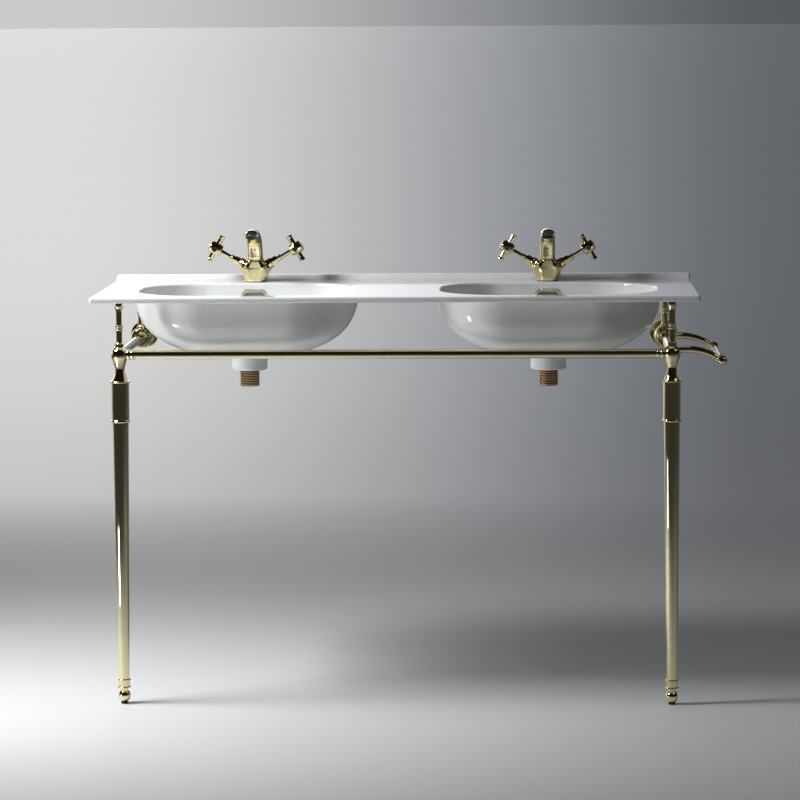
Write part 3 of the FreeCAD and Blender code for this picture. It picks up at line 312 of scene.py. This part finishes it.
# ---- Wastes -------------------------------------------------------------------------------
# Turned from brass bar and left unplated below the bowl: a flange in the bowl, a threaded tail
# through the boss, and a nut drawn up against a rubber washer inside the boss.
thread_pitch = 0.0052           # as coarse as the photograph shows it; pipe thread is 2.3 mm
thread_root = 0.0196            # radius between the crests
thread_crest = 0.0013           # radius of a rolled crest
thread_sunk = -0.0004           # crest's centre inside the root; here it stands out
thread_end = 0.0016             # plain part at each end
relief_below_nut = 0.0035       # nut's foot to the relief under the boss
tool_rings = 2500               # rings per metre along the axis
rings_round = 40                # and how slowly they change round it, per metre
tarnish_patch = 0.008           # metres across
crest_patch = 0.003                # metres across
bloom_patch = 0.004             # metres across
edge_angle = math.radians(30)   # past which an edge stays crisp

# Turned and left bare: tool rings round the axis, browned unevenly by air and water.
raw_brass, tree, out = new_material("turned_unplated_brass")
place = add(tree, "ShaderNodeTexCoord")
rings = add(tree, "ShaderNodeMapping", {"Scale": (rings_round, rings_round, tool_rings)},
            {"Vector": place.outputs["Object"]})
tooling = add(tree, "ShaderNodeTexNoise", {"Scale": 1.0, "Detail": 2.0},
              {"Vector": rings.outputs[0]})
tarnish = add(tree, "ShaderNodeTexNoise", {"Scale": 1 / tarnish_patch, "Detail": 5.0},
              {"Vector": place.outputs["Object"]})
brown = add(tree, "ShaderNodeMix", {"data_type": "RGBA", 6: srgb("#7A5238"), 7: srgb("#A47C54")},
            {0: tarnish.outputs["Fac"]})
dull = add(tree, "ShaderNodeMapRange", {"To Min": 0.3, "To Max": 0.5},
           {"Value": tarnish.outputs["Fac"]})
cut = add(tree, "ShaderNodeBump", {"Strength": 0.25, "Distance": 0.0002},
          {"Height": tooling.outputs["Fac"]})
shade = add(tree, "ShaderNodeBsdfPrincipled", {"Metallic": 1.0},
            {"Base Color": brown.outputs[2], "Roughness": dull.outputs[0],
             "Normal": cut.outputs[0]})
tree.links.new(shade.outputs[0], out.inputs[0])

# Thread crests: satin brass painted paler and brighter than the tarnished root, a painted highlight
# that makes the ridges read as lit over shaded grooves; its tone varies in random patches.
crest_highlight_brass, tree, out = new_material("thread_crest_painted_highlight_brass")
place = add(tree, "ShaderNodeTexCoord")
crest_patches = add(tree, "ShaderNodeTexNoise", {"Scale": 1 / crest_patch, "Detail": 3.0},
             {"Vector": place.outputs["Object"]})
tone = add(tree, "ShaderNodeMix", {"data_type": "RGBA", 6: srgb("#DDB688"), 7: srgb("#F4DCB6")},
           {0: crest_patches.outputs["Fac"]})
satin = add(tree, "ShaderNodeMapRange", {"To Min": 0.3, "To Max": 0.45},
            {"Value": crest_patches.outputs["Fac"]})
shade = add(tree, "ShaderNodeBsdfPrincipled", {"Metallic": 1.0},
            {"Base Color": tone.outputs[2], "Roughness": satin.outputs[0]})
tree.links.new(shade.outputs[0], out.inputs[0])

# Rubber, EPDM: black, moulded, dry to the touch, with a bloom that lightens it in patches.
rubber, tree, out = new_material("moulded_epdm_rubber")
place = add(tree, "ShaderNodeTexCoord")
bloom = add(tree, "ShaderNodeTexNoise", {"Scale": 1 / bloom_patch, "Detail": 4.0},
            {"Vector": place.outputs["Object"]})
tone = add(tree, "ShaderNodeMix", {"data_type": "RGBA", 6: srgb("#141415"), 7: srgb("#242426")},
           {0: bloom.outputs["Fac"]})
skin = add(tree, "ShaderNodeBump", {"Strength": 0.3, "Distance": 0.0001},
           {"Height": bloom.outputs["Fac"]})
shade = add(tree, "ShaderNodeBsdfPrincipled", {"Roughness": 0.7, "IOR": 1.48},
            {"Base Color": tone.outputs[2], "Normal": skin.outputs[0]})
tree.links.new(shade.outputs[0], out.inputs[0])


def group_input(tree, name, kind, start):
    """A named input of a Geometry Nodes tree, with its starting value."""
    made = tree.interface.new_socket(name, in_out="INPUT", socket_type=kind)
    if start is not None:
        made.default_value = start


def grow(name, tree, values, place):
    """Run a Geometry Nodes tree on an empty mesh and return the result as a plain mesh object."""
    seed = bpy.data.objects.new(name, bpy.data.meshes.new(name + "_seed"))
    scene.collection.objects.link(seed)
    grown = seed.modifiers.new("grow", "NODES")
    grown.node_group = tree
    for item in tree.interface.items_tree:
        if item.name in values:
            grown[item.identifier] = values[item.name]
    depsgraph = bpy.context.evaluated_depsgraph_get()
    mesh = bpy.data.meshes.new_from_object(seed.evaluated_get(depsgraph), depsgraph=depsgraph)
    seed.modifiers.remove(grown)
    seed.data = mesh
    mesh.name = name
    mesh.transform(place)
    return seed


# Thread: a round crest swept along a helix, from the bottom up.
thread_tree = bpy.data.node_groups.new("Thread", "GeometryNodeTree")
group_input(thread_tree, "Diameter", "NodeSocketFloat", 0.04)
group_input(thread_tree, "Turns", "NodeSocketFloat", 10.0)
group_input(thread_tree, "Length", "NodeSocketFloat", 0.03)
group_input(thread_tree, "Crest", "NodeSocketFloat", 0.0007)
group_input(thread_tree, "Sunk", "NodeSocketFloat", 0.0004)
group_input(thread_tree, "Finish", "NodeSocketMaterial", None)
thread_tree.interface.new_socket("Mesh", in_out="OUTPUT", socket_type="NodeSocketGeometry")
sizes = add(thread_tree, "NodeGroupInput")
half = add(thread_tree, "ShaderNodeMath", {"operation": "MULTIPLY", 1: 0.5},
           {0: sizes.outputs["Diameter"]})
helix_radius = add(thread_tree, "ShaderNodeMath", {"operation": "SUBTRACT"},
                   {0: half.outputs[0], 1: sizes.outputs["Sunk"]})
helix = add(thread_tree, "GeometryNodeCurveSpiral", {"Resolution": 48},
            {"Rotations": sizes.outputs["Turns"], "Start Radius": helix_radius.outputs[0],
             "End Radius": helix_radius.outputs[0], "Height": sizes.outputs["Length"]})
crest = add(thread_tree, "GeometryNodeCurvePrimitiveCircle", {"Resolution": 8},
            {"Radius": sizes.outputs["Crest"]})
swept = add(thread_tree, "GeometryNodeCurveToMesh", {"Fill Caps": True},
            {"Curve": helix.outputs[0], "Profile Curve": crest.outputs[0]})
smooth = add(thread_tree, "GeometryNodeSetShadeSmooth", {}, {0: swept.outputs[0]})
whole = add(thread_tree, "GeometryNodeRealizeInstances", {}, {0: smooth.outputs[0]})
finished = add(thread_tree, "GeometryNodeSetMaterial", {},
               {"Geometry": whole.outputs[0], "Material": sizes.outputs["Finish"]})
add(thread_tree, "NodeGroupOutput", {}, {0: finished.outputs[0]})


def thread(name, axis, low, high, diameter, crest, sunk, finish):
    """A helical thread on a vertical axis, between two levels."""
    return grow(name, thread_tree,
                {"Diameter": diameter, "Turns": (high - low) / thread_pitch, "Length": high - low,
                 "Crest": crest, "Sunk": sunk, "Finish": finish},
                Matrix.Translation((axis.x, axis.y, low)))


def welded_copy(name, node, finish):
    """A plain mesh object with a CAD node's surface, its loose triangles merged."""
    mesh = nodes[node].data.copy()
    mesh.name = name
    shape = bmesh.new()
    shape.from_mesh(mesh)
    bmesh.ops.remove_doubles(shape, verts=shape.verts, dist=1e-6)
    shape.to_mesh(mesh)
    shape.free()
    mesh.materials.clear()
    mesh.materials.append(finish)
    piece = bpy.data.objects.new(name, mesh)
    scene.collection.objects.link(piece)
    return piece


relief_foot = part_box("waste_nuts")[0].z - relief_below_nut
for side in ("left", "right"):
    low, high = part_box("waste_body_" + side)
    axis = (low + high) / 2
    axis.z = 0
    # the tail is cut down to the thread's root, and the crest is wound round it
    piece = welded_copy("waste_casting_" + side, "waste_body_" + side, raw_brass)
    for vertex in piece.data.vertices:
        spoke = Vector((vertex.co.x - axis.x, vertex.co.y - axis.y, 0))
        if vertex.co.z < relief_foot and spoke.length > thread_root:
            vertex.co -= spoke.normalized() * (spoke.length - thread_root)
    piece.data.shade_smooth()
    piece.data.set_sharp_from_angle(angle=edge_angle)
    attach(piece, "console")
    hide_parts("waste_body_" + side)
    # the crest takes the brass with the painted highlight
    piece = thread("waste_thread_" + side, axis, low.z + thread_end, relief_foot - thread_end,
                   2 * thread_root, thread_crest, thread_sunk, crest_highlight_brass)
    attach(piece, "console")

dress(raw_brass, "waste_nuts")
dress(rubber, "waste_seals", "plug_seal_left", "plug_seal_right")


# ---- Plugs --------------------------------------------------------------------------------
# A push plug closes each waste: a turned brass cap on a stem, polished like the taps, with a
# rubber seal under its lip.

# Turned and polished on the lathe: fine rings round an upright axis.
turned_brass = brass("turned_polished_brass", "#E8DBA6", "#F0E6BE", (40, 40, 2200))
dress(turned_brass, "plug_left", "plug_right")


# ---- Taps ---------------------------------------------------------------------------------
# Each monobloc tap is a brass casting, ground to eight flat faces, that runs up into a round
# spout. It is held under the deck by a nut on its threaded shank.

# how far the casting's front stands forward of the solid's, at heights above the deck: the
# front leans out all the way up into the spout's underside, so that it mirrors the white deck
front_lean = ((0.004, 0.0), (0.030, 0.0065), (0.045, 0.009), (0.054, 0.0122), (0.070, 0.0076),
              (0.090, 0.0))
front_flat = 0.020              # half width that moves whole
front_fade = 0.027              # half width past which nothing moves, where the nozzles start
front_skin = 0.015              # distance in front of the axis at which the move is whole
ground_edge = math.radians(20)  # past which an edge between ground faces stays crisp
passive_patch = 0.006           # metres across
shank_diameter = 0.032
shank_crest = 0.0008            # radius of a crest, at the wastes' coarse pitch
shank_sunk = 0.0005             # crest's centre inside the shank's surface
shank_end = 0.002               # plain part at each end

# Cast, ground and polished by hand: no grain direction, and reflections that swim.
cast_brass = brass("cast_hand_polished_brass", "#E8DAA2", "#F0E6BA", (900, 900, 900), 0.03)


def tap_axis(side):
    """The upright axis of a tap's foot: midway across its casting, and in its gasket's middle."""
    low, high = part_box("tap_body_" + side)
    front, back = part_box("tap_gaskets")
    return Vector(((low.x + high.x) / 2, (front.y + back.y) / 2, 0))


def lean_at(height):
    """The forward move at a height, by straight steps between the listed heights."""
    for (low, start), (high, end) in zip(front_lean, front_lean[1:]):
        if low <= height <= high:
            return start + (end - start) * (height - low) / (high - low)
    return 0.0


for side in ("left", "right"):
    axis = tap_axis(side)
    piece = welded_copy("tap_casting_" + side, "tap_body_" + side, cast_brass)
    for vertex in piece.data.vertices:
        beside = (front_fade - abs(vertex.co.x - axis.x)) / (front_fade - front_flat)
        ahead = (axis.y - vertex.co.y) / front_skin
        share = min(1, max(0, beside)) * min(1, max(0, ahead))
        vertex.co.y -= share * lean_at(vertex.co.z)
    piece.data.shade_smooth()
    piece.data.set_sharp_from_angle(angle=ground_edge)
    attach(piece, "console")
    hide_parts("tap_body_" + side)

# Zinc-plated steel: grey, faintly blue and yellow in patches where the passivation lies.
zinc, tree, out = new_material("zinc_plated_steel")
place = add(tree, "ShaderNodeTexCoord")
patch = add(tree, "ShaderNodeTexNoise", {"Scale": 1 / passive_patch, "Detail": 3.0},
            {"Vector": place.outputs["Object"]})
tone = add(tree, "ShaderNodeMix", {"data_type": "RGBA", 6: srgb("#B4B9C0"), 7: srgb("#CCC9B8")},
           {0: patch.outputs["Fac"]})
satin = add(tree, "ShaderNodeMapRange", {"To Min": 0.25, "To Max": 0.4},
            {"Value": patch.outputs["Fac"]})
shade = add(tree, "ShaderNodeBsdfPrincipled", {"Metallic": 1.0},
            {"Base Color": tone.outputs[2], "Roughness": satin.outputs[0]})
tree.links.new(shade.outputs[0], out.inputs[0])
dress(zinc, "tap_fixings")
dress(rubber, "tap_gaskets")

for side in ("left", "right"):
    piece = thread("tap_shank_thread_" + side, tap_axis(side),
                   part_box("tap_body_" + side)[0].z + shank_end,
                   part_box("tap_fixings")[0].z - shank_end,
                   shank_diameter, shank_crest, shank_sunk, raw_brass)
    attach(piece, "console")


# ---- Aerators -----------------------------------------------------------------------------
# A screwed insert of dark acetal fills each outlet. Its face is a honeycomb of small cells
# that breaks the stream, set back inside the rim.
outlet_tilt = math.radians(62)  # facing, below the horizontal
aerator_width = 0.025
face_set_back = 0.0022          # honeycomb's middle behind the rim
cell_size = 0.0017
cell_wall = 0.00025
cell_depth = 0.0014
cell_rows = 13
acetal_fleck = 0.0008           # metres across

# Acetal: moulded, dark and slightly waxy, with a fine spark texture.
acetal, tree, out = new_material("moulded_dark_acetal")
place = add(tree, "ShaderNodeTexCoord")
mottle = add(tree, "ShaderNodeTexNoise", {"Scale": 1 / acetal_fleck, "Detail": 2.0},
             {"Vector": place.outputs["Object"]})
spark = add(tree, "ShaderNodeBump", {"Strength": 0.2, "Distance": 0.0001},
            {"Height": mottle.outputs["Fac"]})
tone = add(tree, "ShaderNodeMix", {"data_type": "RGBA", 6: srgb("#34333A"), 7: srgb("#4A4850")},
           {0: mottle.outputs["Fac"]})
shade = add(tree, "ShaderNodeBsdfPrincipled", {"Roughness": 0.35, "IOR": 1.48},
            {"Base Color": tone.outputs[2], "Normal": spark.outputs[0]})
tree.links.new(shade.outputs[0], out.inputs[0])
dress(acetal, "aerators")

# Honeycomb: one six-sided cell wall instanced on a square grid, every other row moved by half
# a cell. The patch is square and as wide as the insert, so its corners show outside the rim.
comb_tree = bpy.data.node_groups.new("Honeycomb", "GeometryNodeTree")
group_input(comb_tree, "Cell", "NodeSocketFloat", 0.002)
group_input(comb_tree, "Wall", "NodeSocketFloat", 0.00025)
group_input(comb_tree, "Depth", "NodeSocketFloat", 0.0015)
group_input(comb_tree, "Rows", "NodeSocketInt", 12)
group_input(comb_tree, "Finish", "NodeSocketMaterial", None)
comb_tree.interface.new_socket("Mesh", in_out="OUTPUT", socket_type="NodeSocketGeometry")
sizes = add(comb_tree, "NodeGroupInput")
width = add(comb_tree, "ShaderNodeMath", {"operation": "MULTIPLY"},
            {0: sizes.outputs["Cell"], 1: sizes.outputs["Rows"]})
grid = add(comb_tree, "GeometryNodeMeshGrid", {},
           {"Size X": width.outputs[0], "Size Y": width.outputs[0],
            "Vertices X": sizes.outputs["Rows"], "Vertices Y": sizes.outputs["Rows"]})
number = add(comb_tree, "GeometryNodeInputIndex")
row = add(comb_tree, "ShaderNodeMath", {"operation": "MODULO"},
          {0: number.outputs[0], 1: sizes.outputs["Rows"]})
odd = add(comb_tree, "ShaderNodeMath", {"operation": "MODULO", 1: 2.0}, {0: row.outputs[0]})
stagger = add(comb_tree, "ShaderNodeMath", {"operation": "MULTIPLY"},
              {0: odd.outputs[0], 1: sizes.outputs["Cell"]})
stagger = add(comb_tree, "ShaderNodeMath", {"operation": "MULTIPLY", 1: 0.5},
              {0: stagger.outputs[0]})
shift = add(comb_tree, "ShaderNodeCombineXYZ", {}, {"Y": stagger.outputs[0]})
staggered = add(comb_tree, "GeometryNodeSetPosition", {},
                {"Geometry": grid.outputs[0], "Offset": shift.outputs[0]})
# a little over half a cell, so that neighbouring walls run into each other
radius = add(comb_tree, "ShaderNodeMath", {"operation": "MULTIPLY", 1: 0.55},
             {0: sizes.outputs["Cell"]})
outline = add(comb_tree, "GeometryNodeCurvePrimitiveCircle", {"Resolution": 6},
              {"Radius": radius.outputs[0]})
wall = add(comb_tree, "GeometryNodeCurvePrimitiveQuadrilateral", {},
           {"Width": sizes.outputs["Wall"], "Height": sizes.outputs["Depth"]})
cell = add(comb_tree, "GeometryNodeCurveToMesh", {},
           {"Curve": outline.outputs[0], "Profile Curve": wall.outputs[0]})
cells = add(comb_tree, "GeometryNodeInstanceOnPoints", {},
            {"Points": staggered.outputs[0], "Instance": cell.outputs[0]})
whole = add(comb_tree, "GeometryNodeRealizeInstances", {}, {0: cells.outputs[0]})
finished = add(comb_tree, "GeometryNodeSetMaterial", {},
               {"Geometry": whole.outputs[0], "Material": sizes.outputs["Finish"]})
add(comb_tree, "NodeGroupOutput", {}, {0: finished.outputs[0]})

low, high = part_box("aerators")
facing = Vector((0, -math.cos(outlet_tilt), -math.sin(outlet_tilt)))
length = (high.z - low.z - aerator_width * math.cos(outlet_tilt)) / math.sin(outlet_tilt)
for side, sign in (("left", -1), ("right", 1)):
    middle = Vector((sign * (high.x - aerator_width / 2), (low.y + high.y) / 2,
                     (low.z + high.z) / 2))
    face = middle + facing * (length / 2 - face_set_back)
    piece = grow("aerator_honeycomb_" + side, comb_tree,
                 {"Cell": cell_size, "Wall": cell_wall, "Depth": cell_depth, "Rows": cell_rows,
                  "Finish": acetal},
                 Matrix.Translation(face) @ facing.to_track_quat("Z", "Y").to_matrix().to_4x4())
    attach(piece, "console")


# ---- Handles ------------------------------------------------------------------------------
# A bonnet nut holds each valve in its nozzle. The spindle carries a turned hub with four
# swelling arms, and a white enamel button closes the hub. Handle, spindle and button turn as
# one.
enamel_pool = 0.005             # metres across

# Turned about slanting axes and buffed all over: no grain direction, and barely a wave.
axis_brass = brass("turned_handle_brass", "#E8DBA6", "#F0E6BE", (700, 700, 700), 0.01)

# Enamel: a thick glassy white drop, fired in the button's cup.
enamel, tree, out = new_material("fired_white_enamel")
place = add(tree, "ShaderNodeTexCoord")
pool = add(tree, "ShaderNodeTexNoise", {"Scale": 1 / enamel_pool, "Detail": 1.0},
           {"Vector": place.outputs["Object"]})
tone = add(tree, "ShaderNodeMix", {"data_type": "RGBA", 6: srgb("#F7F7F5"), 7: srgb("#F1F1EC")},
           {0: pool.outputs["Fac"]})
shade = add(tree, "ShaderNodeBsdfPrincipled", {"Roughness": 0.06, "IOR": 1.52},
            {"Base Color": tone.outputs[2]})
tree.links.new(shade.outputs[0], out.inputs[0])

for side in ("left", "right"):
    dress(axis_brass, "valve_bonnets_" + side)
    for water in ("hot", "cold"):
        dress(axis_brass, "handle_%s_%s" % (side, water), "spindle_%s_%s" % (side, water))
        dress(enamel, "index_%s_%s" % (side, water))


# ---- Legs ---------------------------------------------------------------------------------
# Tapered brass tube, spun and polished, in a straight sleeve under a cast corner piece. At its
# foot a ferrule and a ball on a screw, which sets the height; a nylon glide keeps the brass
# off the floor.
nylon_spark = 0.0006            # metres across

# Drawn tube: polishing lines that run up the leg.
tube_brass = brass("drawn_upright_tube_brass", "#EADFB2", "#F1E9C6", (2000, 2000, 12))

# Black nylon: moulded, satin, with the mould's fine spark texture.
nylon, tree, out = new_material("moulded_black_nylon")
place = add(tree, "ShaderNodeTexCoord")
grain = add(tree, "ShaderNodeTexNoise", {"Scale": 1 / nylon_spark, "Detail": 2.0},
            {"Vector": place.outputs["Object"]})
spark = add(tree, "ShaderNodeBump", {"Strength": 0.25, "Distance": 0.0001},
            {"Height": grain.outputs["Fac"]})
worn = add(tree, "ShaderNodeMapRange", {"To Min": 0.42, "To Max": 0.6},
           {"Value": grain.outputs["Fac"]})
shade = add(tree, "ShaderNodeBsdfPrincipled", {"Base Color": srgb("#1B1B1C"), "IOR": 1.53},
            {"Roughness": worn.outputs[0], "Normal": spark.outputs[0]})
tree.links.new(shade.outputs[0], out.inputs[0])

for side in ("left", "right"):
    dress(cast_brass, "corner_casting_" + side)
    dress(tube_brass, "leg_sleeve_" + side, "leg_tube_" + side)
    dress(turned_brass, "foot_ferrule_" + side, "levelling_foot_" + side)
    dress(nylon, "foot_glide_" + side)
dress(raw_brass, "leg_inserts")


# ---- Posts, hubs and wall flanges ---------------------------------------------------------
# Four short turned posts carry the top on black rubber pads: two stand on the corner pieces
# and two on the drums at the back, which are screwed to plates behind the round wall flanges.
for side in ("left", "right"):
    dress(turned_brass, "front_post_" + side, "rear_post_" + side)
    dress(cast_brass, "rear_hub_" + side, "wall_flange_" + side)
dress(rubber, "post_pads")
dress(zinc, "wall_plates")


# ---- Rails --------------------------------------------------------------------------------
# Drawn brass tube, polished along its length and pinned in double-beaded ferrules: one rail
# across the front, and one on each side from the corner piece to the wall flange.

# Drawn tube again, with its lines along X for the front rail and along Y for the others.
long_brass = brass("drawn_front_rail_brass", "#EADFB2", "#F1E9C6", (12, 2000, 2000))
deep_brass = brass("drawn_side_rail_brass", "#EADFB2", "#F1E9C6", (2000, 12, 2000))
dress(long_brass, "front_rail")
dress(deep_brass, "side_rail_left", "side_rail_right")
dress(axis_brass, "rail_ferrules")


# ---- Towel rail ---------------------------------------------------------------------------
# Two curved arms cast in brass stand out on the right, one on the corner piece and one on the
# rear drum. Ball knobs on their tips carry a bar of drawn tube.
dress(cast_brass, "towel_arm_front", "towel_arm_rear")
dress(axis_brass, "towel_knobs")
dress(deep_brass, "towel_bar")
